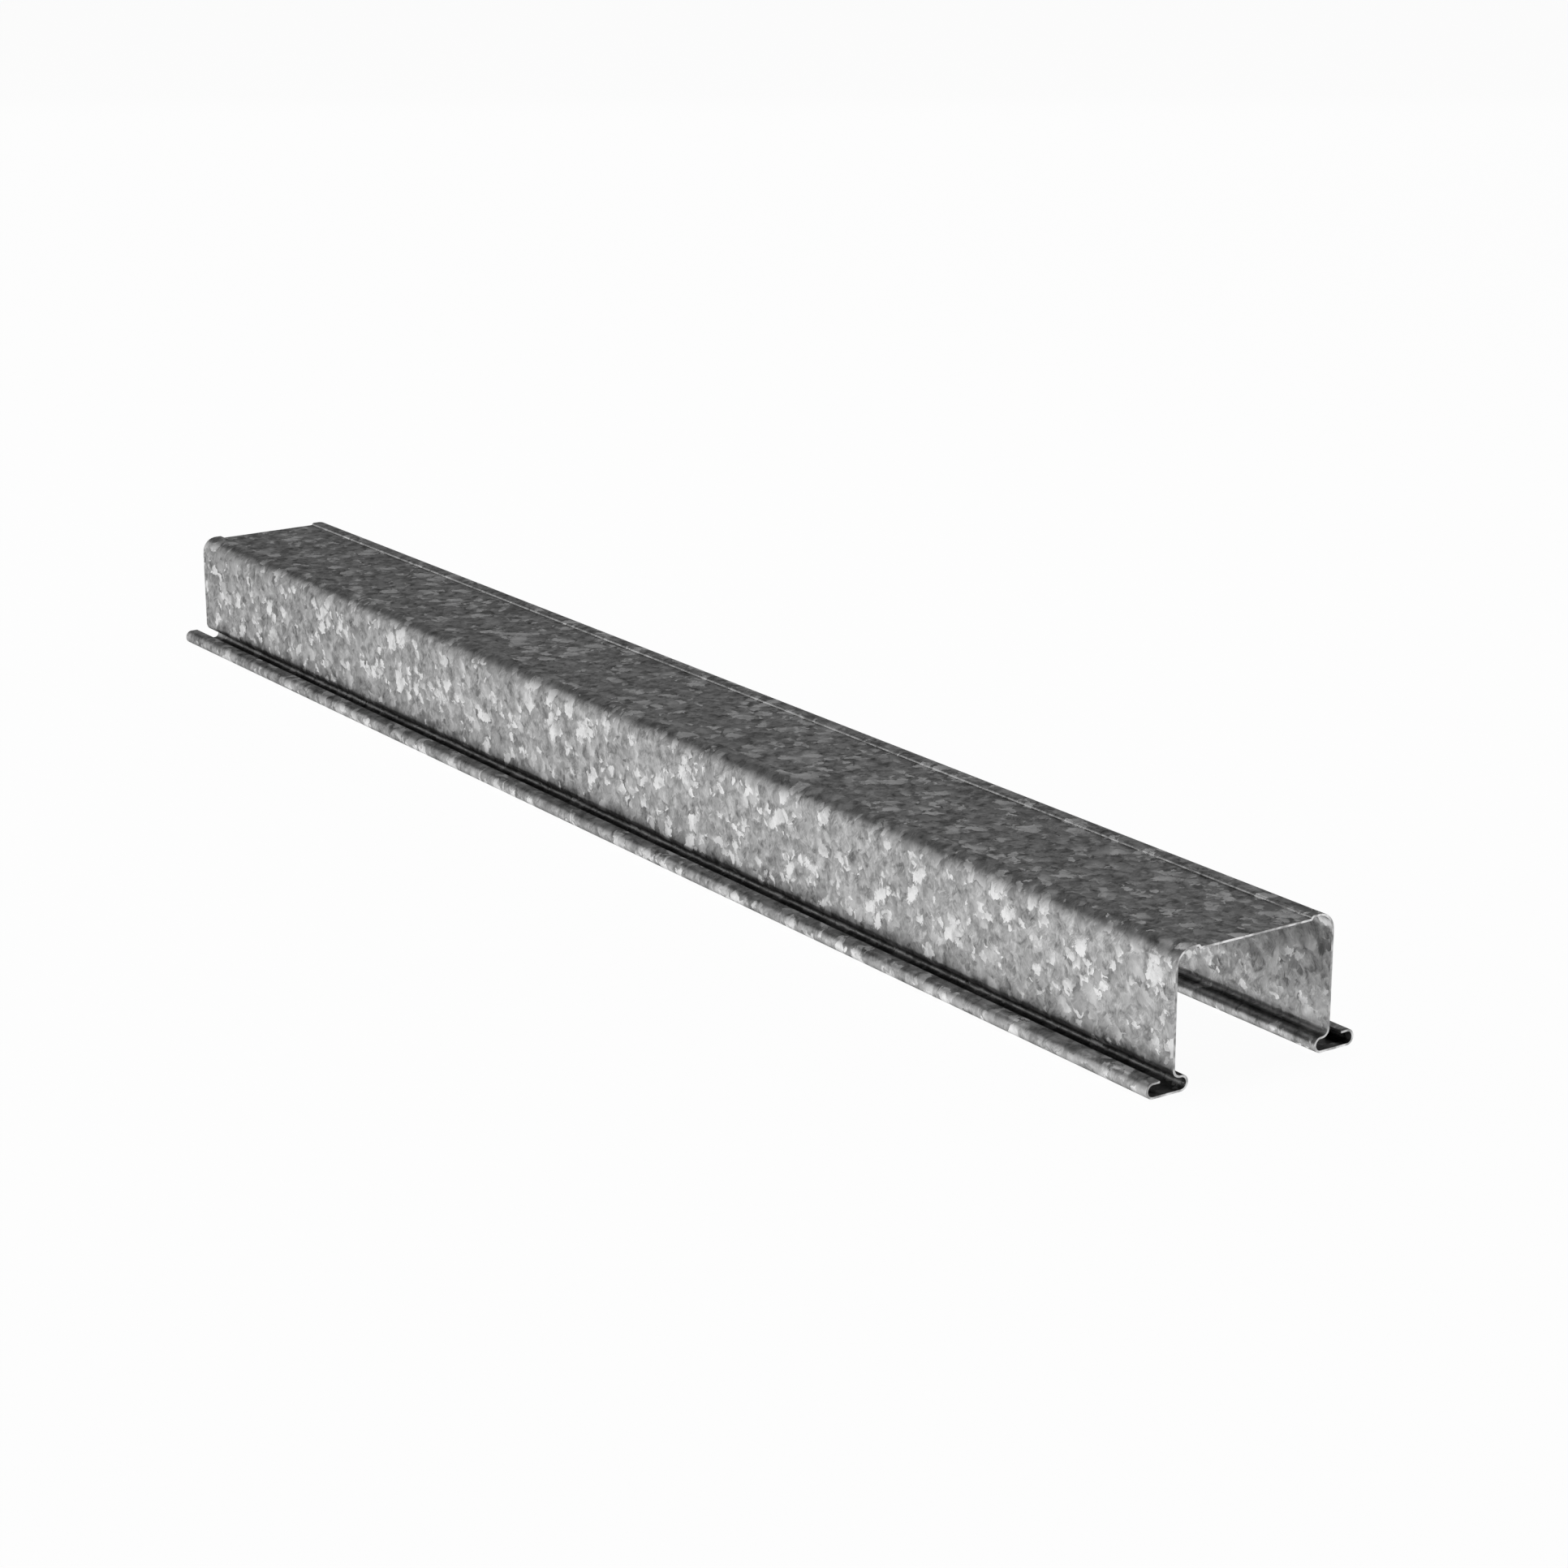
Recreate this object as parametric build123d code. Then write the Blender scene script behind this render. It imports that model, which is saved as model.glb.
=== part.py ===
from build123d import *

import os
from math import atan2, degrees, radians, sin

# Ceiling channel: one strip of galvanised steel, cold-roll-formed and cut to length.
# All lengths are in millimetres. X runs along the channel, Y across it and Z up; the origin
# is in the middle of the length, on the plane that the two soles stand on.

# Overall sizes
length = 400.0          # cut length
depth = 28.0            # from the soles to the crowns of the beads
leg_width = 38.5        # over the outer faces of the two legs
sheet = 0.5             # thickness of the strip

# Web and beads
web_recess = 0.55       # how far the web lies below the beads
joggle_run = 0.8        # width of the S-shaped step between the web and a bead
bead_flat = 1.35        # flat crown of a bead, between its joggle and its corner
corner_radius = 3.8     # outside radius where a bead turns down into its leg

# Feet
foot_height = 3.3       # from a sole to the top of its lip
foot_reach = 6.25       # how far a foot stands out from the outer face of its leg
ankle_radius = 1.35     # inside radius where a leg turns in above its foot
shelf_flat = 0.25       # flat between the ankle and the inner fold
lip_flat = 1.6          # flat part of the lip, from the outer fold back to its edge

# The strip is drawn by its middle line, which runs half a sheet inside each of its faces.
half_sheet = sheet / 2
crown_z = depth - half_sheet
web_z = crown_z - web_recess
shelf_z = foot_height - half_sheet
leg_y = leg_width / 2 - half_sheet

# Bend radii of the middle line. A fold doubles the strip back over the foot's full height.
corner_bend = corner_radius - half_sheet
ankle_bend = ankle_radius + half_sheet
fold_bend = (foot_height - sheet) / 2

# Where each flat of the middle line ends, counted from the leg inwards and outwards
bead_edge_y = leg_y - corner_bend
web_edge_y = bead_edge_y - bead_flat - joggle_run
inner_fold_y = leg_y - ankle_bend - shelf_flat
outer_fold_y = leg_width / 2 + foot_reach - half_sheet - fold_bend
lip_edge_y = outer_fold_y - lip_flat

# A joggle is two equal and opposite arcs that rise by web_recess over joggle_run.
joggle_turn = 2 * degrees(atan2(web_recess, joggle_run))
joggle_bend = joggle_run / (2 * sin(radians(joggle_turn)))


def half_middle_line():
    """Draws one half of the section, from the middle of the web out to the edge of a lip."""
    web = Line((0, web_z), (web_edge_y, web_z))
    rise = JernArc(web @ 1, web % 1, joggle_bend, joggle_turn)
    level = JernArc(rise @ 1, rise % 1, joggle_bend, -joggle_turn)
    bead = Line(level @ 1, (bead_edge_y, crown_z))
    corner = JernArc(bead @ 1, bead % 1, corner_bend, -90)
    leg = Line(corner @ 1, (leg_y, shelf_z + ankle_bend))
    ankle = JernArc(leg @ 1, leg % 1, ankle_bend, -90)
    shelf = Line(ankle @ 1, (inner_fold_y, shelf_z))
    inner_fold = JernArc(shelf @ 1, shelf % 1, fold_bend, 180)
    sole = Line(inner_fold @ 1, (outer_fold_y, half_sheet))
    outer_fold = JernArc(sole @ 1, sole % 1, fold_bend, 180)
    Line(outer_fold @ 1, (lip_edge_y, shelf_z))


def ceiling_channel():
    """The folded strip: its middle line drawn to both sides, thickened and run along X."""
    with BuildPart() as channel:
        with BuildSketch(Plane.YZ):
            with BuildLine():
                half_middle_line()
                mirror(about=Plane.YZ)
            trace(line_width=sheet)
        extrude(amount=length / 2, both=True)
    return channel.part


os.makedirs("parts", exist_ok=True)
export_step(ceiling_channel(), "parts/ceiling_channel.step")
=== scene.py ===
from math import pi, radians, sin

import bpy
import numpy as np
from mathutils import Matrix, Vector


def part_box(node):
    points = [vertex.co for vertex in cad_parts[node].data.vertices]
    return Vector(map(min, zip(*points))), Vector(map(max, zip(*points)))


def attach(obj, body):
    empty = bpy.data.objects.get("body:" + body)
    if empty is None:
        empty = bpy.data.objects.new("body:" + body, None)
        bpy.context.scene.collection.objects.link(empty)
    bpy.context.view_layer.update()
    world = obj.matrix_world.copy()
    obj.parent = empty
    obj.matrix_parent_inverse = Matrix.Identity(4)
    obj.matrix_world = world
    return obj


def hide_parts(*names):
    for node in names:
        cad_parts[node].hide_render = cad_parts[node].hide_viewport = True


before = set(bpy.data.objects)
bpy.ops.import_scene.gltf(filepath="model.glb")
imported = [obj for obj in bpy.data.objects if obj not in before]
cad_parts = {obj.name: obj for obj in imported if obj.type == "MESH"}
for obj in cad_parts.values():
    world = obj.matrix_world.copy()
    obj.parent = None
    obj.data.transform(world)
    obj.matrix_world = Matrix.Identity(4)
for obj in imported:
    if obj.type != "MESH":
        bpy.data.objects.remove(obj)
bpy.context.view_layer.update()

# A length of galvanised ceiling channel: one thin steel strip, folded into a recessed web, two
# raised beads, two legs and two hooked feet. X runs along the channel, Y across it, Z up.
# Lengths of the strip and its pattern are in millimetres; the mesh and the studio are in metres.
MM = 0.001
low, high = (Vector(corner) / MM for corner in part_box("ceiling_channel"))
LENGTH = high.x - low.x
FOOT_WIDTH = high.y - low.y
DEPTH = high.z - low.z

# Section of the strip
SHEET = 0.5               # thickness
FOOT_REACH = 6.25         # how far a foot stands out from its leg's outer face
FOOT_HEIGHT = 3.3         # sole to the top of the lip
CORNER_RADIUS = 3.8       # outside, bead to leg
ANKLE_RADIUS = 1.35       # inside, leg to shelf
WEB_RECESS = 0.55         # web below the beads
JOGGLE_RUN = 0.8          # width of the step from web to bead
BEAD_FLAT = 1.35          # crown between joggle and corner
SHELF_FLAT = 0.25         # between the ankle and the inner fold
LIP_FLAT = 1.6            # from the outer fold back to the lip's edge
SHEAR_CHAMFER = 0.05      # rounding that the shear leaves along the cut edges

# Fineness of the strip's mesh
BEND_STEP = radians(5)    # turn between two points round a bend
FLAT_STEP = 1.5           # longest stretch between two points on a flat
FLAT_MARGIN = 0.12        # first and last stretch of a flat, so that bends don't shade into it
LENGTH_STEPS = 40
SHARP_ANGLE = radians(30)

# Shifts of the spangle
PATTERN_SHIFT = 151.0     # along the strip
UNDERSIDE_SHIFT = 171.0   # across it, so that the underside doesn't repeat the top's flakes

# Painted shade in the folds of the feet, where the strip shades itself
FOLD_SHADE_RAYS = 48
FOLD_SHADE_START = 0.02        # first stretch of a ray, which clears its own face
FOLD_SHADE_REACH = 40.0
FOLD_SHADE_CLEAR = 0.6         # share of a point's directions that may be blocked before painted shade begins
FOLD_SHADE_GAIN = 2.2
FOLD_SHADE_COVER = 0.8         # how much of the zinc's tone full painted shade takes

# Zinc: the metal
CRYSTAL_TILT = 0.10       # slope of the steepest crystals
GROUND_ROUGHNESS = 0.39
FLAKE_ROUGHNESS = 0.48
GRAZING_TINT = 0.19       # share of a metal's shine at a grazing view that the dull zinc keeps

# Zinc: the ground under the flakes. A drift is the size of its noise and how far it moves a point.
GROUND_TONE = 0.458
CLOUD_TONE = 1.0          # contrast of the clouds
CLOUD_SIZE = 2.8
CLOUD_DETAIL = 5.0
CLOUD_DRIFT = (2.4, 1.3)
FEATHER_TONE = 0.48       # contrast of the feathers
FEATHER_SIZE = 0.42
FEATHER_DETAIL = 3.0
FEATHER_WIDTH = 0.24      # a feather's width as a share of its length
FEATHER_TURNS = (-0.5, 0.6)
SWIRL = (9.0, 2.4)
FINE_SWIRL = (1.6, 0.3)
FINE_NOISE = 0.6          # strength of each finer layer of clouds and feathers next to the last
PATCH_SIZE = 3.2          # size of the areas with one direction of feathers
PATCH_RIM = (0.42, 0.58)  # values of the areas' noise between which the direction changes

# Zinc: the flakes
TEAR = (0.9, 0.55)        # drifts that tear the flakes' rims
FINE_TEAR = (0.3, 0.16)
FLAKE_EDGE = 0.5          # distance from a flake's middle to the middle of its rim, in its sizes
RIM_FEATHER = 0.8         # how far the feathers push the rim in and out
FLAKE_FEATHER = 0.3       # contrast of the feathers inside a flake
FLAKE_FADE = 0.5          # how much a flake's tone changes from one side of it to the other
FLAKE_DARKEST = 0.26      # no flake fades below this tone
GATHER_SIZE = 7.0         # size of the areas where the bright flakes gather
FLAKES = [
    # size, stretch, turn, share of the cells, darkest and brightest tone, softness of the rim
    # and how strongly they gather
    (4.0, 1.2, 0.3, 0.30, 0.37, 0.58, 0.24, 0.0),
    (2.0, 1.3, 1.9, 0.26, 0.30, 0.60, 0.20, 0.0),
    (4.6, 1.5, 0.9, 0.11, 0.56, 0.73, 0.30, 1.2),
    (4.8, 1.6, 2.3, 0.088, 0.82, 0.97, 0.07, 1.0),
    (2.7, 1.5, 0.5, 0.090, 0.76, 0.97, 0.09, 1.0),
    (1.3, 1.2, 1.2, 0.060, 0.70, 0.97, 0.12, 1.0),
]

# Cut edges
EDGE_DULL = 0.36          # tone where the shear tore the steel
EDGE_BRIGHT = 0.80        # and where it burnished it
EDGE_STRETCHES = 420.0    # changes between the two to the metre
EDGE_SOFTNESS = 0.14      # how gradual these changes are
EDGE_LINES = 0.5          # contrast of the fine lines
EDGE_LINE_DENSITY = 900.0
EDGE_LINE_DETAIL = 3.0
EDGE_BUMP = 0.3
EDGE_BUMP_HEIGHT = 0.00002
EDGE_ROUGHNESS = 0.42
UPRIGHT_EDGE_SHADE = 0.70       # painted shade: share of that tone which the legs' upright edges keep
EDGE_LEVEL_FROM = 0.34    # from here to there, as shares of the depth counted from mid-height,
EDGE_LEVEL_TO = 0.46      # the edges turn from upright to level

# Studio
WALL_LEVEL = 0.6
CEILING_LEVEL = 0.06
WALL_TOP = 0.19           # height on the unit sphere where the walls begin to darken
CEILING_EDGE = 0.57       # and where they are as dark as the ceiling
LAMP_AIM = (0.0, 0.0, 0.02)
KEY_PLACE = (-1.25, -0.85, 0.65)
KEY_SIZE = (1.5, 0.8)
KEY_RADIANCE = 0.40
BACK_PLACE = (-1.15, 0.8, 0.38)
BACK_SIZE = (1.3, 0.6)
BACK_RADIANCE = 0.28
TOP_PLACE = (0.0, 0.0, 1.4)
TOP_SIZE = (0.6, 0.6)
TOP_RADIANCE = 3.4
FLOOR_HALF = 30.0
FLOOR_TONE = 0.8
FLOOR_GLOW = 1.08         # white that the floor shows in place of its own tone and shadow
FLOOR_SHOWN = 0.88        # share of that white in what the camera sees
FLOOR_MIRRORED = 0.88     # and in what the metal mirrors

# Camera
IMAGE_SIZE = 1932
FOCAL_PIXELS = 4443.6
EYE = Vector((665.74, -424.69, 246.26)) * MM
CAMERA_AZIMUTH = radians(55.540)
CAMERA_ELEVATION = radians(16.943)
CAMERA_ROLL = radians(-0.132)
SENSOR = 36.0
FARTHEST_SEEN = 100.0


# The folded strip

def bends():
    """The half section as a list of (flat or bend length, turn), from the middle of the web out
    to the lip's edge. A flat has no turn; a bend's length is its radius times its turn."""
    half_sheet = SHEET / 2
    corner_bend = CORNER_RADIUS - half_sheet
    ankle_bend = ANKLE_RADIUS + half_sheet
    fold_bend = (FOOT_HEIGHT - SHEET) / 2
    leg_y = FOOT_WIDTH / 2 - FOOT_REACH - half_sheet
    web_half = leg_y - corner_bend - BEAD_FLAT - JOGGLE_RUN
    leg_flat = DEPTH - half_sheet - corner_bend - (FOOT_HEIGHT - half_sheet) - ankle_bend
    sole_flat = FOOT_REACH + ankle_bend + SHELF_FLAT - fold_bend
    joggle_turn = 2 * np.arctan2(WEB_RECESS, JOGGLE_RUN)
    joggle_bend = JOGGLE_RUN / (2 * sin(joggle_turn))
    return [
        (web_half, 0),
        (joggle_bend * joggle_turn, joggle_turn),
        (joggle_bend * joggle_turn, -joggle_turn),
        (BEAD_FLAT, 0),
        (corner_bend * pi / 2, -pi / 2),
        (leg_flat, 0),
        (ankle_bend * pi / 2, -pi / 2),
        (SHELF_FLAT, 0),
        (fold_bend * pi, pi),
        (sole_flat, 0),
        (fold_bend * pi, pi),
        (LIP_FLAT, 0),
    ]


def middle_line():
    """Points, headings and arc lengths of the strip's middle line, from the left lip's edge to
    the right one's. The heading is the running sum of the turns, and each point is the running
    sum of the chords: a step of length s that turns by a has the chord s sin(a/2)/(a/2), along
    the heading half way through the turn."""
    steps, turns = [], []
    for run, turn in bends():
        if turn:
            count = int(np.ceil(abs(turn) / BEND_STEP))
            cuts = np.linspace(0, run, count + 1)
        else:
            margin = min(FLAT_MARGIN, run / 3)
            count = int(np.ceil((run - 2 * margin) / FLAT_STEP))
            cuts = np.r_[0, np.linspace(margin, run - margin, count + 1), run]
        steps.append(np.diff(cuts))
        turns.append(np.diff(cuts) * turn / run)
    step, turn = np.concatenate(steps), np.concatenate(turns)
    heading = np.r_[0, np.cumsum(turn)]
    midway = heading[:-1] + turn / 2
    chord = step * np.sinc(turn / (2 * pi))
    web_z = DEPTH - SHEET / 2 - WEB_RECESS
    y = np.r_[0, np.cumsum(chord * np.cos(midway))]
    z = web_z + np.r_[0, np.cumsum(chord * np.sin(midway))]
    along = np.r_[0, np.cumsum(step)]
    mirror = slice(None, 0, -1)
    points = np.stack([np.r_[-y[mirror], y], np.r_[z[mirror], z]], axis=1)
    return points, np.r_[-heading[mirror], heading], np.r_[-along[mirror], along]


def section_loop(inset):
    """The strip's closed outline, counter-clockwise seen from +X, with every face moved in by
    inset: the middle line shifted along its normal by half a sheet to each side. With it come
    the places across the strip that its pattern is read at."""
    points, heading, along = middle_line()
    tangent = np.stack([np.cos(heading), np.sin(heading)], axis=1)
    normal = np.stack([-tangent[:, 1], tangent[:, 0]], axis=1)
    pull = np.zeros((len(points), 1))
    pull[0], pull[-1] = inset, -inset
    middle = points + tangent * pull
    shift = normal * (SHEET / 2 - inset)
    top, underside = middle + shift, middle - shift
    return np.concatenate([underside, top[::-1]]), np.r_[along + UNDERSIDE_SHIFT, along[::-1]]


def painted_fold_shade(outline):
    """How much painted shade each point of the section gets, from 0 to 1: the strip's shade on
    itself in its folds, painted into the zinc's tone. It grows with the share of the
    directions in front of its face, weighted by their cosine, in which the strip itself stands
    within reach. A ray meets an edge of the outline where the edge's ends lie on either side of
    it; the distance is the ends' distances ahead, mixed by their sides."""
    ahead = np.roll(outline, -1, axis=0) - np.roll(outline, 1, axis=0)
    facing = np.arctan2(-ahead[:, 0], ahead[:, 1])
    spread = ((np.arange(FOLD_SHADE_RAYS) + 0.5) / FOLD_SHADE_RAYS - 0.5) * pi
    angle = facing[:, None] + spread
    ray = np.stack([np.cos(angle), np.sin(angle)], axis=2)[:, :, None, :]
    start = outline[:, None, None, :] + ray * FOLD_SHADE_START
    near = outline[None, None, :, :] - start
    far = np.roll(outline, -1, axis=0)[None, None, :, :] - start
    side_near = ray[..., 0] * near[..., 1] - ray[..., 1] * near[..., 0]
    side_far = ray[..., 0] * far[..., 1] - ray[..., 1] * far[..., 0]
    crossed = side_near * side_far < 0
    apart = np.where(crossed, side_near - side_far, 1.0)
    distance = ((far * ray).sum(3) * side_near - (near * ray).sum(3) * side_far) / apart
    met = (crossed & (distance > 0) & (distance < FOLD_SHADE_REACH)).any(axis=2)
    weight = np.cos(spread)
    share = (met * weight).sum(axis=1) / weight.sum()
    return np.clip((share - FOLD_SHADE_CLEAR) * FOLD_SHADE_GAIN, 0, 1)


def channel_strip():
    """The whole channel: the section's outline carried along X, drawn in by the shear's chamfer
    at both ends and closed there by a row of faces across the sheet."""
    full, strip_v = section_loop(0)
    drawn_in, _ = section_loop(SHEAR_CHAMFER)
    reach = LENGTH / 2 - SHEAR_CHAMFER
    stations = np.linspace(-reach, reach, LENGTH_STEPS + 1)
    xs = np.r_[-LENGTH / 2, stations, LENGTH / 2]
    rings = np.stack([drawn_in] + [full] * len(stations) + [drawn_in])
    count, round_count = rings.shape[:2]
    ring_x = np.broadcast_to(xs[:, None, None], (count, round_count, 1))
    verts = np.concatenate([ring_x, rings], axis=2).reshape(-1, 3) * MM
    uvs = np.stack(np.broadcast_arrays(xs[:, None] + PATTERN_SHIFT, strip_v[None, :]), axis=2)

    # Walls: one quad between each pair of neighbours round and along
    ring = np.arange(count - 1)[:, None] * round_count
    here = np.arange(round_count)[None, :]
    after = (here + 1) % round_count
    walls = np.stack(
        [ring + here, ring + after, ring + round_count + after, ring + round_count + here], axis=2
    )
    # Ends: the underside's points face the top's across the sheet
    half = round_count // 2
    first = np.arange(half - 1)
    across = np.stack([first, first + 1, round_count - 2 - first, round_count - 1 - first], axis=1)
    ends = np.concatenate([across[:, ::-1], across + (count - 1) * round_count])
    quads = np.concatenate([walls.reshape(-1, 4), ends])

    # The cut edges have the second material: both ends, their chamfers and the lips' edges
    cut = np.zeros((count - 1, round_count), bool)
    cut[:, [half - 1, round_count - 1]] = True
    cut[[0, -1], :] = True
    slots = np.r_[cut.ravel(), np.ones(len(ends), bool)].astype(np.int32)
    # With the mesh goes the painted shade of the folds at each point
    return verts, quads, uvs.reshape(-1, 2), np.tile(painted_fold_shade(full), count), slots


def mesh_object(name, verts, quads, uvs, shade_of_folds, slots, materials):
    """A mesh object of quads, smooth round its bends and sharp at its edges, with a UV map in
    strip coordinates and the painted shade of the folds at each vertex."""
    mesh = bpy.data.meshes.new(name)
    mesh.from_pydata(verts.tolist(), [], quads.tolist())
    layer = mesh.uv_layers.new(name="strip")
    layer.data.foreach_set("uv", uvs[quads.ravel()].astype(np.float32).ravel())
    mesh.attributes.new("painted_fold_shade", "FLOAT", "POINT").data.foreach_set("value", shade_of_folds.astype(np.float32))
    for material in materials:
        mesh.materials.append(material)
    mesh.polygons.foreach_set("material_index", slots)
    mesh.polygons.foreach_set("use_smooth", np.ones(len(quads), bool))
    mesh.set_sharp_from_angle(angle=SHARP_ANGLE)
    mesh.validate()
    piece = bpy.data.objects.new(name, mesh)
    bpy.context.scene.collection.objects.link(piece)
    return piece


# Node trees

# A Mix node has its own sockets for each data type: two inputs and an output
MIX_SOCKETS = {"FLOAT": (2, 3, 0), "VECTOR": (4, 5, 1)}


class Tree:
    """Adds nodes to a node tree and returns their outputs."""

    def __init__(self, tree):
        self.tree = tree

    def fill(self, node, inputs):
        """Links each input that is given as a socket, and sets any other."""
        for key, value in inputs.items():
            if isinstance(value, bpy.types.NodeSocket):
                self.tree.links.new(value, node.inputs[key])
            else:
                node.inputs[key].default_value = value

    def add(self, kind, inputs=None, **settings):
        """A new node, with its settings made before its inputs are filled."""
        node = self.tree.nodes.new(kind)
        for name, value in settings.items():
            setattr(node, name, value)
        self.fill(node, inputs or {})
        return node

    def math(self, operation, *values):
        return self.add("ShaderNodeMath", dict(enumerate(values)), operation=operation).outputs[0]

    def vector(self, operation, *values):
        node = self.add("ShaderNodeVectorMath", dict(enumerate(values)), operation=operation)
        return node.outputs[0]

    def scale(self, vector, factor):
        inputs = {0: vector, "Scale": factor}
        return self.add("ShaderNodeVectorMath", inputs, operation="SCALE").outputs[0]

    def turn(self, vector, angle):
        inputs = {"Vector": vector, "Angle": angle}
        return self.add("ShaderNodeVectorRotate", inputs, rotation_type="Z_AXIS").outputs[0]

    def noise(self, vector, size, detail=2.0, roughness=0.5, dimensions="2D"):
        """Soft noise whose features are about size across, as (value, colour)."""
        inputs = {"Vector": vector, "Scale": 1 / size, "Detail": detail, "Roughness": roughness}
        node = self.add("ShaderNodeTexNoise", inputs, noise_dimensions=dimensions)
        return node.outputs["Fac"], node.outputs["Color"]

    def warp(self, vector, size, reach):
        """Moves the pattern's points by noise, up to about reach."""
        drift = self.vector("SUBTRACT", self.noise(vector, size)[1], (0.5, 0.5, 0.5))
        return self.vector("ADD", vector, self.scale(drift, reach * 2))

    def blend(self, factor, a, b, kind="FLOAT"):
        """a where the factor is 0, b where it is 1."""
        first, second, result = MIX_SOCKETS[kind]
        node = self.add("ShaderNodeMix", {0: factor, first: a, second: b}, data_type=kind)
        return node.outputs[result]

    def step(self, value, low_end, high_end):
        """0 below low_end, 1 above high_end and smooth between."""
        inputs = {"Value": value, "From Min": low_end, "From Max": high_end}
        return self.add("ShaderNodeMapRange", inputs, interpolation_type="SMOOTHSTEP").outputs[0]

    def grey(self, shade):
        return self.add("ShaderNodeCombineColor", {0: shade, 1: shade, 2: shade}).outputs[0]


def group_tree(name, inputs, outputs):
    """An empty node group with the given (name, kind) sockets."""
    tree = bpy.data.node_groups.new(name, "ShaderNodeTree")
    for label, kind in inputs:
        tree.interface.new_socket(label, in_out="INPUT", socket_type=kind)
    for label, kind in outputs:
        tree.interface.new_socket(label, in_out="OUTPUT", socket_type=kind)
    return tree


def new_material(name):
    """A material with its Principled shader, and a Tree on its nodes."""
    material = bpy.data.materials.new(name)
    material.use_nodes = True
    return material, Tree(material.node_tree), material.node_tree.nodes["Principled BSDF"]


def ground(t, strip, drifted):
    """The zinc between the flakes: clouds of a few millimetres, and feathers that follow one of
    two swirling directions, patch by patch. Gives its tone and the feathers by themselves."""
    cloud = t.noise(drifted, CLOUD_SIZE, CLOUD_DETAIL, FINE_NOISE)[0]
    swirl = t.warp(t.warp(strip, *SWIRL), *FINE_SWIRL)
    feathers = []
    for angle in FEATHER_TURNS:
        drawn_out = t.vector("MULTIPLY", t.turn(swirl, angle), (1.0, FEATHER_WIDTH, 1.0))
        feathers.append(t.noise(drawn_out, FEATHER_SIZE, FEATHER_DETAIL, FINE_NOISE)[0])
    patch = t.step(t.noise(strip, PATCH_SIZE, 1.0)[0], *PATCH_RIM)
    feather = t.math("SUBTRACT", t.blend(patch, *feathers), 0.5)
    tone = t.math("MULTIPLY_ADD", t.math("SUBTRACT", cloud, 0.5), CLOUD_TONE, GROUND_TONE)
    return t.math("MULTIPLY_ADD", feather, FEATHER_TONE, tone), feather


def spangle_group():
    """The crystal pattern of hot-dip zinc, in strip coordinates of millimetres: a feathery ground
    with flakes of several sizes laid over it. Each flake is a cell of a Voronoi pattern, picked
    by its random number, which a slow noise raises where the bright flakes gather. A drift of the
    points and the ground's feathers tear its rim, and its tone fades from one side to the other."""
    tree = group_tree(
        "zinc_spangle",
        [("Strip", "NodeSocketVector")],
        [("Tone", "NodeSocketFloat"), ("Gloss", "NodeSocketFloat"), ("Tilt", "NodeSocketVector")],
    )
    t = Tree(tree)
    strip = t.add("NodeGroupInput").outputs["Strip"]
    drifted = t.warp(strip, *CLOUD_DRIFT)
    torn = t.warp(t.warp(drifted, *TEAR), *FINE_TEAR)
    tone, feather = ground(t, strip, drifted)
    gloss = 0.0
    tilt = (0.0, 0.0, 0.0)
    for size, stretch, angle, share, darkest, brightest, rim, gathered in FLAKES:
        placed = t.vector("MULTIPLY", t.turn(torn, angle), (1 / size, stretch / size, 1.0))
        cells = t.add(
            "ShaderNodeTexVoronoi", {"Vector": placed, "Scale": 1.0}, voronoi_dimensions="2D"
        ).outputs
        random = t.add("ShaderNodeSeparateColor", {0: cells["Color"]}).outputs

        # Which cells are flakes: the gathering is read at the cell's middle, back on the strip
        middle = t.turn(t.vector("MULTIPLY", cells["Position"], (size, size / stretch, 1.0)), -angle)
        gather = t.math("SUBTRACT", t.noise(middle, GATHER_SIZE, 1.0)[0], 0.5)
        luck = t.math("MULTIPLY_ADD", gather, gathered, random[0])
        picked = t.math("GREATER_THAN", luck, 1 - share)
        distance = t.math("MULTIPLY_ADD", feather, RIM_FEATHER, cells["Distance"])
        inside = t.step(distance, FLAKE_EDGE + rim, FLAKE_EDGE - rim)
        mask = t.math("MULTIPLY", picked, inside)

        # How a flake leans, and its own tone
        lean = t.vector("SUBTRACT", cells["Color"], (0.5, 0.5, 0.5))
        off_middle = t.vector("SUBTRACT", placed, cells["Position"])
        fade = t.add("ShaderNodeVectorMath", {0: off_middle, 1: lean}, operation="DOT_PRODUCT")
        own = t.math("MULTIPLY_ADD", random[1], brightest - darkest, darkest)
        own = t.math("MULTIPLY_ADD", feather, FLAKE_FEATHER, own)
        own = t.math("MULTIPLY_ADD", fade.outputs["Value"], FLAKE_FADE, own)
        own = t.math("MAXIMUM", own, FLAKE_DARKEST)

        tone = t.blend(mask, tone, own)
        tilt = t.blend(mask, tilt, lean, "VECTOR")
        gloss = t.math("MAXIMUM", gloss, mask)
    t.add("NodeGroupOutput", {"Tone": tone, "Gloss": gloss, "Tilt": tilt})
    return tree


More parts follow.
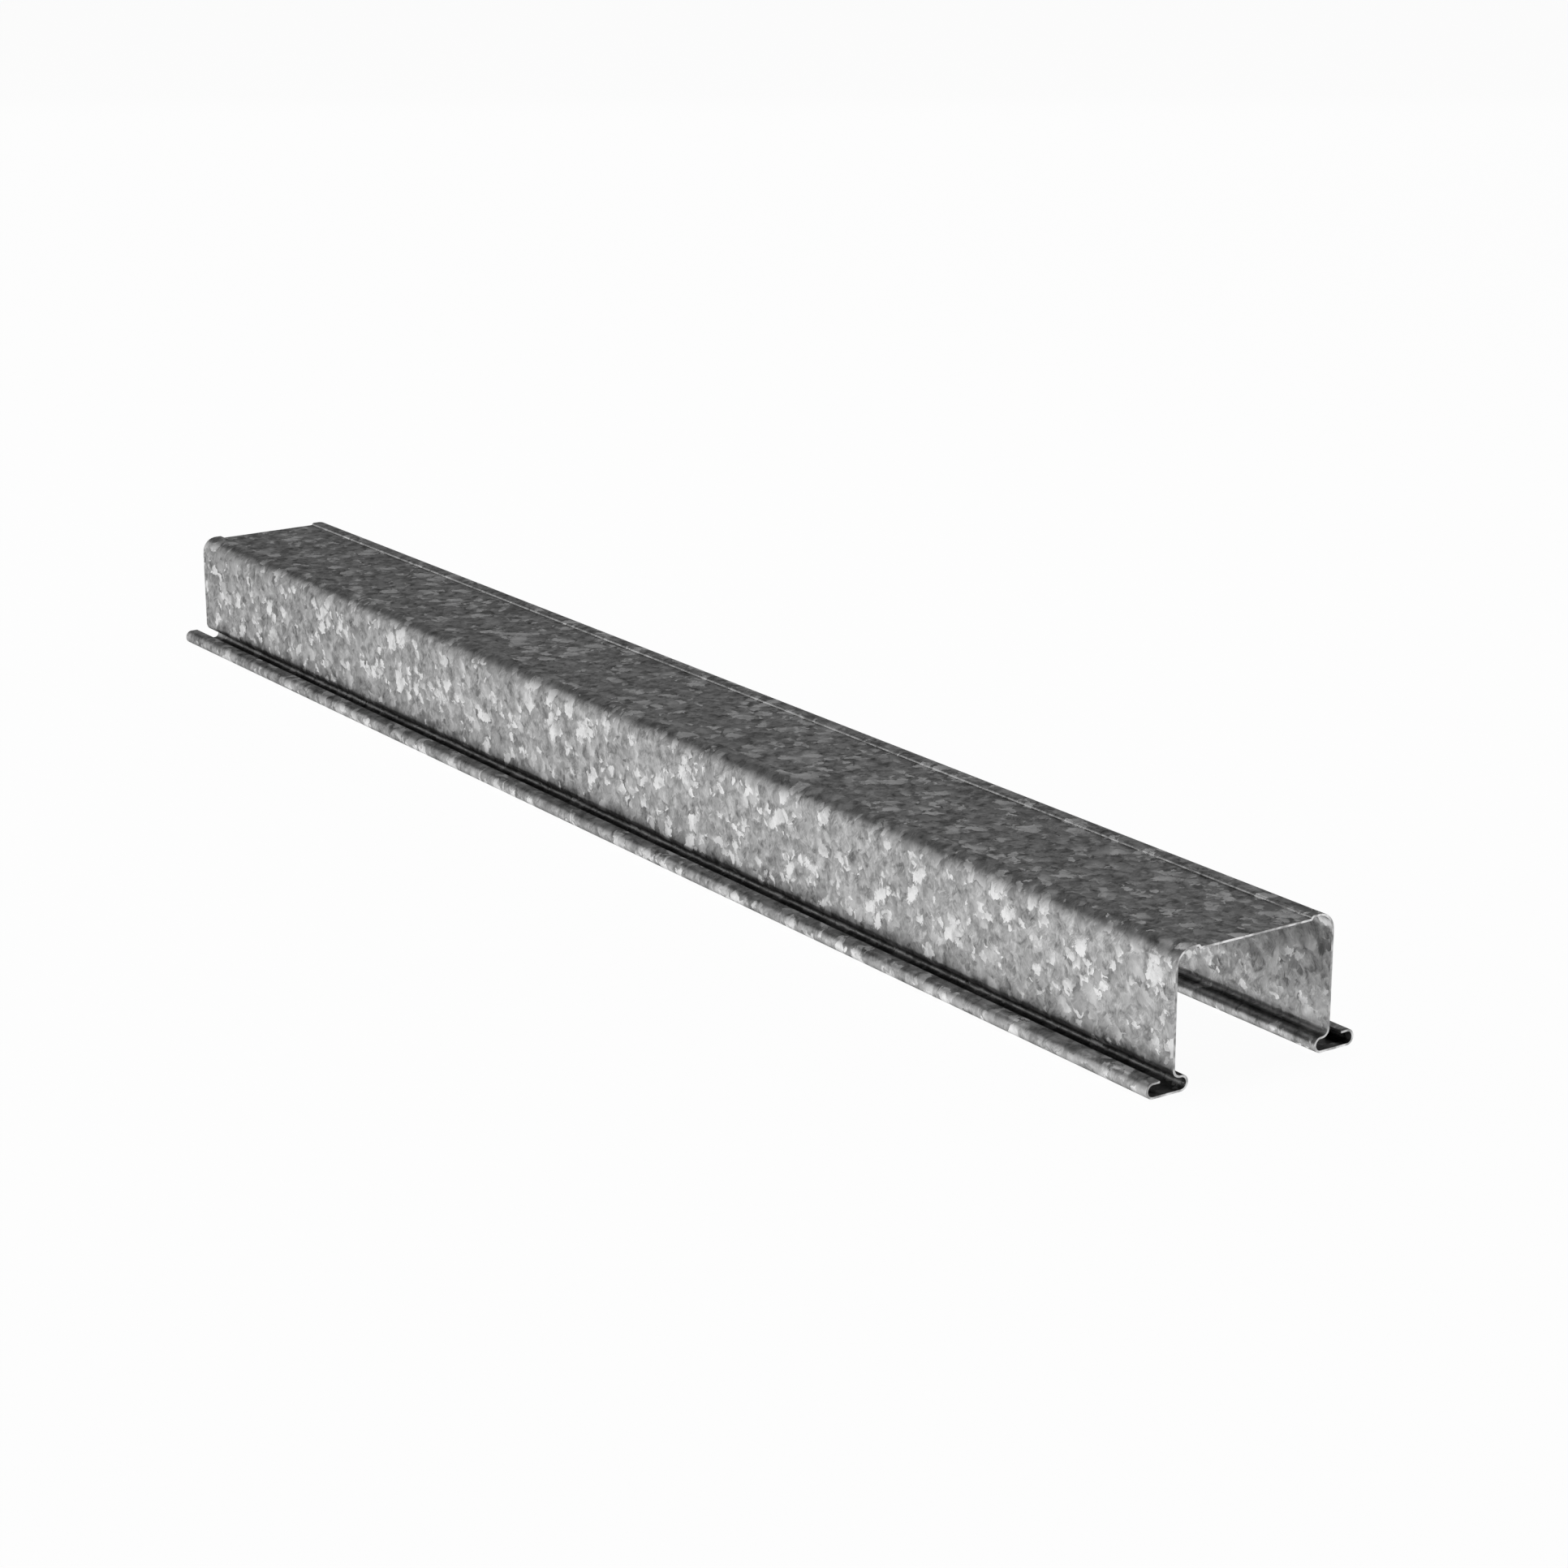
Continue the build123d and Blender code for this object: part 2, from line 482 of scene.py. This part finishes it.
def galvanised(spangle):
    """Zinc-coated sheet: a grey metal whose tone, gloss and tilt change from flake to flake."""
    material, t, shader = new_material("spangled_zinc")
    strip = t.add("ShaderNodeUVMap", uv_map="strip").outputs[0]
    zinc = t.add("ShaderNodeGroup", {"Strip": strip}, node_tree=spangle).outputs
    # Painted shade: the zinc's tone is darkened where the strip's folds shade it
    shade_of_folds = t.add("ShaderNodeAttribute", attribute_name="painted_fold_shade").outputs["Fac"]
    shade = t.math("MULTIPLY", zinc["Tone"], t.math("MULTIPLY_ADD", shade_of_folds, -FOLD_SHADE_COVER, 1.0))

    # A normal map's (0.5, 0.5, 1) is an untilted face
    lean = t.vector("MULTIPLY", t.scale(zinc["Tilt"], CRYSTAL_TILT), (1.0, 1.0, 0.0))
    facet = t.vector("ADD", lean, (0.5, 0.5, 1.0))
    normal = t.add("ShaderNodeNormalMap", {"Color": facet}, space="TANGENT", uv_map="strip")
    t.fill(shader, {
        "Base Color": t.grey(shade),
        "Roughness": t.blend(zinc["Gloss"], GROUND_ROUGHNESS, FLAKE_ROUGHNESS),
        "Normal": normal.outputs[0],
        "Metallic": 1.0,
        "Specular Tint": (GRAZING_TINT, GRAZING_TINT, GRAZING_TINT, 1),
    })
    return material


def sheared_steel():
    """The cut edges: bare steel, burnished in stretches by the shear, with fine lines across it.
    The legs' upright edges are painted darker than the level ones of web and feet: painted shade."""
    material, t, shader = new_material("sheared_edge")
    place = t.add("ShaderNodeTexCoord").outputs["Object"]
    height = t.add("ShaderNodeSeparateXYZ", {0: place}).outputs["Z"]
    off_middle = t.math("ABSOLUTE", t.math("SUBTRACT", height, DEPTH * MM / 2))
    level = t.step(off_middle, EDGE_LEVEL_FROM * DEPTH * MM, EDGE_LEVEL_TO * DEPTH * MM)
    lines = t.noise(place, 1 / EDGE_LINE_DENSITY, EDGE_LINE_DETAIL, dimensions="3D")[0]
    stretches = t.noise(place, 1 / EDGE_STRETCHES, dimensions="3D")[0]
    burnish = t.step(stretches, 0.5 - EDGE_SOFTNESS, 0.5 + EDGE_SOFTNESS)
    shade = t.blend(burnish, EDGE_DULL, EDGE_BRIGHT)
    shade = t.math("MULTIPLY_ADD", t.math("SUBTRACT", lines, 0.5), EDGE_LINES, shade)
    # Painted shade: the legs' upright edges are darkened
    shade = t.math("MULTIPLY", shade, t.blend(level, UPRIGHT_EDGE_SHADE, 1.0))
    bump = t.add(
        "ShaderNodeBump", {"Height": lines, "Strength": EDGE_BUMP, "Distance": EDGE_BUMP_HEIGHT}
    )
    t.fill(shader, {
        "Base Color": t.grey(shade),
        "Roughness": EDGE_ROUGHNESS,
        "Normal": bump.outputs[0],
        "Metallic": 1.0,
    })
    return material


# Studio

def white_floor():
    """A wide floor that shows as plain white and keeps a soft shadow of the channel."""
    corners = [
        (-FLOOR_HALF, -FLOOR_HALF, 0),
        (FLOOR_HALF, -FLOOR_HALF, 0),
        (FLOOR_HALF, FLOOR_HALF, 0),
        (-FLOOR_HALF, FLOOR_HALF, 0),
    ]
    mesh = bpy.data.meshes.new("floor")
    mesh.from_pydata(corners, [], [(0, 1, 2, 3)])
    material, t, shader = new_material("floor_white")
    path = t.add("ShaderNodeLightPath").outputs
    mirrored = t.math("MAXIMUM", path["Is Glossy Ray"], path["Is Transmission Ray"])
    share = t.math("MULTIPLY", path["Is Camera Ray"], FLOOR_SHOWN)
    share = t.math("MULTIPLY_ADD", mirrored, FLOOR_MIRRORED, share)
    t.fill(shader, {
        "Base Color": (FLOOR_TONE, FLOOR_TONE, FLOOR_TONE, 1),
        "Roughness": 1.0,
        "Specular IOR Level": 0.0,
    })
    glow = t.add("ShaderNodeEmission", {"Color": (1, 1, 1, 1), "Strength": FLOOR_GLOW})
    mixed = t.add("ShaderNodeMixShader", {0: share, 1: shader.outputs[0], 2: glow.outputs[0]})
    t.fill(material.node_tree.nodes["Material Output"], {"Surface": mixed.outputs[0]})
    mesh.materials.append(material)
    floor = bpy.data.objects.new("floor", mesh)
    bpy.context.scene.collection.objects.link(floor)


def studio_world():
    """Grey walls that darken towards the ceiling."""
    world = bpy.data.worlds.new("studio")
    world.use_nodes = True
    t = Tree(world.node_tree)
    direction = t.add("ShaderNodeTexCoord").outputs["Generated"]
    up = t.add("ShaderNodeSeparateXYZ", {0: direction}).outputs["Z"]
    level = t.blend(t.step(up, WALL_TOP, CEILING_EDGE), WALL_LEVEL, CEILING_LEVEL)
    t.fill(world.node_tree.nodes["Background"], {"Color": level})
    bpy.context.scene.world = world


def softbox(name, place, size, radiance):
    """A rectangular soft lamp of the given brightness, where 1 is white."""
    light = bpy.data.lights.new(name, "AREA")
    light.shape = "RECTANGLE"
    light.size, light.size_y = size
    light.energy = radiance * pi * size[0] * size[1]
    lamp = bpy.data.objects.new(name, light)
    lamp.location = place
    lamp.rotation_euler = (Vector(LAMP_AIM) - Vector(place)).to_track_quat("-Z", "Y").to_euler()
    lamp.visible_camera = False
    bpy.context.scene.collection.objects.link(lamp)


def camera():
    """The photograph's view, from the eye's place and the three turns of the camera."""
    data = bpy.data.cameras.new("camera")
    data.sensor_width = SENSOR
    data.lens = FOCAL_PIXELS * SENSOR / IMAGE_SIZE
    data.clip_end = FARTHEST_SEEN
    eye = bpy.data.objects.new("camera", data)
    turn = (
        Matrix.Rotation(CAMERA_AZIMUTH, 4, "Z")
        @ Matrix.Rotation(pi / 2 - CAMERA_ELEVATION, 4, "X")
        @ Matrix.Rotation(CAMERA_ROLL, 4, "Z")
    )
    eye.matrix_world = Matrix.Translation(EYE) @ turn
    bpy.context.scene.collection.objects.link(eye)
    bpy.context.scene.camera = eye


zinc = galvanised(spangle_group())
strip = mesh_object("channel_strip", *channel_strip(), [zinc, sheared_steel()])
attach(strip, "root")
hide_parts("ceiling_channel")

white_floor()
studio_world()
softbox("key", KEY_PLACE, KEY_SIZE, KEY_RADIANCE)
softbox("back", BACK_PLACE, BACK_SIZE, BACK_RADIANCE)
softbox("top", TOP_PLACE, TOP_SIZE, TOP_RADIANCE)
camera()
bpy.context.scene.view_settings.view_transform = "Standard"
